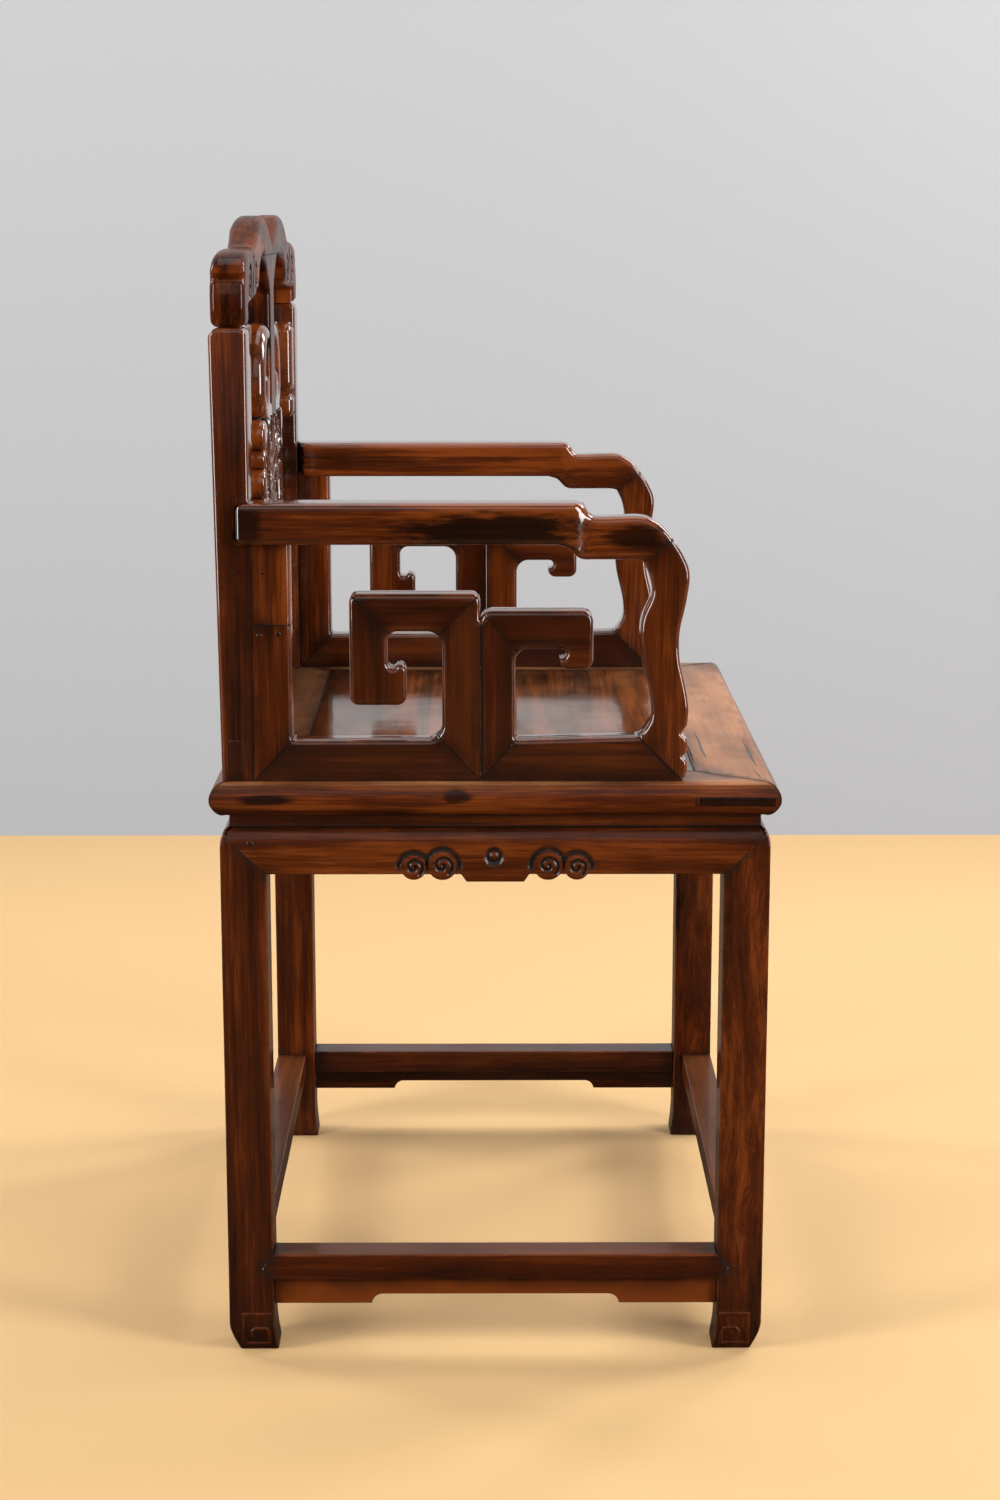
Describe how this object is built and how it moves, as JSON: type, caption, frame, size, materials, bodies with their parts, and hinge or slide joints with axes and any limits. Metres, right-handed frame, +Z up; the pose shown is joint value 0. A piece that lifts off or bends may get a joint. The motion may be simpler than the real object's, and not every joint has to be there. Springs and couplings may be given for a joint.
{
  "type": "oriental armchair",
  "caption": "Hardwood armchair with a lobed pierced back, square scroll frets under its arms, a waisted base, carved aprons and hoofed legs joined by low stretchers.",
  "frame": {"origin": "on the floor, under the middle of the seat frame", "axes": "-Y the way the chair faces, +X towards the sitter's left, +Z up"},
  "size_m": [0.6098, 0.4748, 0.9661],
  "materials": {
    "leg_wood": "dark reddish-brown hardwood, waxed to a gloss, swirled figure on the front legs",
    "seat_frame_wood": "dark reddish-brown hardwood, waxed to a gloss, worn paler on its arrises",
    "seat_panel_wood": "reddish-brown hardwood, waxed and rubbed to a high gloss, orange-brown streaks",
    "inner_wood": "dark hardwood, unpolished",
    "waist_wood": "near-black stained hardwood, satin",
    "apron_wood": "orange-brown hardwood, waxed, dark in its carved lines",
    "stretcher_wood": "dark reddish-brown hardwood, satin wax, worn on top",
    "arm_wood": "dark reddish-brown hardwood, waxed to a gloss, near-black patches",
    "back_frame_wood": "dark reddish-brown hardwood, waxed to a gloss",
    "carved_wood": "dark reddish-brown hardwood, waxed to a gloss, dark in its carved lines"
  },
  "bodies": {
    "root": {"apron_back": "apron_wood", "apron_front": "apron_wood", "apron_left": "apron_wood", "apron_right": "apron_wood", "back_bottom_rail": "back_frame_wood", "back_crest_head": "carved_wood", "back_crest_shoulder_left": "carved_wood", "back_crest_shoulder_right": "carved_wood", "back_post_left": "back_frame_wood", "back_post_right": "back_frame_wood", "left_arm_foot_rail_front": "arm_wood", "left_arm_foot_rail_rear": "arm_wood", "left_arm_front_fret_hook": "arm_wood", "left_arm_front_fret_upright": "arm_wood", "left_arm_front_post": "arm_wood", "left_arm_rail": "arm_wood", "left_arm_rear_fret_hook": "arm_wood", "left_arm_rear_fret_top": "arm_wood", "left_arm_rear_fret_upright": "arm_wood", "left_arm_rear_upright": "arm_wood", "leg_back_left": "leg_wood", "leg_back_right": "leg_wood", "leg_front_left": "leg_wood", "leg_front_right": "leg_wood", "post_bracket_left": "carved_wood", "post_bracket_right": "carved_wood", "right_arm_foot_rail_front": "arm_wood", "right_arm_foot_rail_rear": "arm_wood", "right_arm_front_fret_hook": "arm_wood", "right_arm_front_fret_upright": "arm_wood", "right_arm_front_post": "arm_wood", "right_arm_rail": "arm_wood", "right_arm_rear_fret_hook": "arm_wood", "right_arm_rear_fret_top": "arm_wood", "right_arm_rear_fret_upright": "arm_wood", "right_arm_rear_upright_lower": "arm_wood", "right_arm_rear_upright_upper": "arm_wood", "seat_batten": "inner_wood", "seat_panel": "seat_panel_wood", "seat_rail_back": "seat_frame_wood", "seat_rail_front": "seat_frame_wood", "seat_rail_left": "seat_frame_wood", "seat_rail_right": "seat_frame_wood", "splat_cloud_left": "carved_wood", "splat_cloud_right": "carved_wood", "splat_foot": "carved_wood", "splat_panel": "carved_wood", "splat_stem": "carved_wood", "stretcher_back": "stretcher_wood", "stretcher_front": "stretcher_wood", "stretcher_left": "stretcher_wood", "stretcher_right": "stretcher_wood", "stretcher_spandrel_back": "stretcher_wood", "stretcher_spandrel_front": "stretcher_wood", "stretcher_spandrel_left": "stretcher_wood", "stretcher_spandrel_right": "stretcher_wood", "waist_back": "waist_wood", "waist_front": "waist_wood", "waist_left": "waist_wood", "waist_right": "waist_wood"}
  },
  "joints": []
}
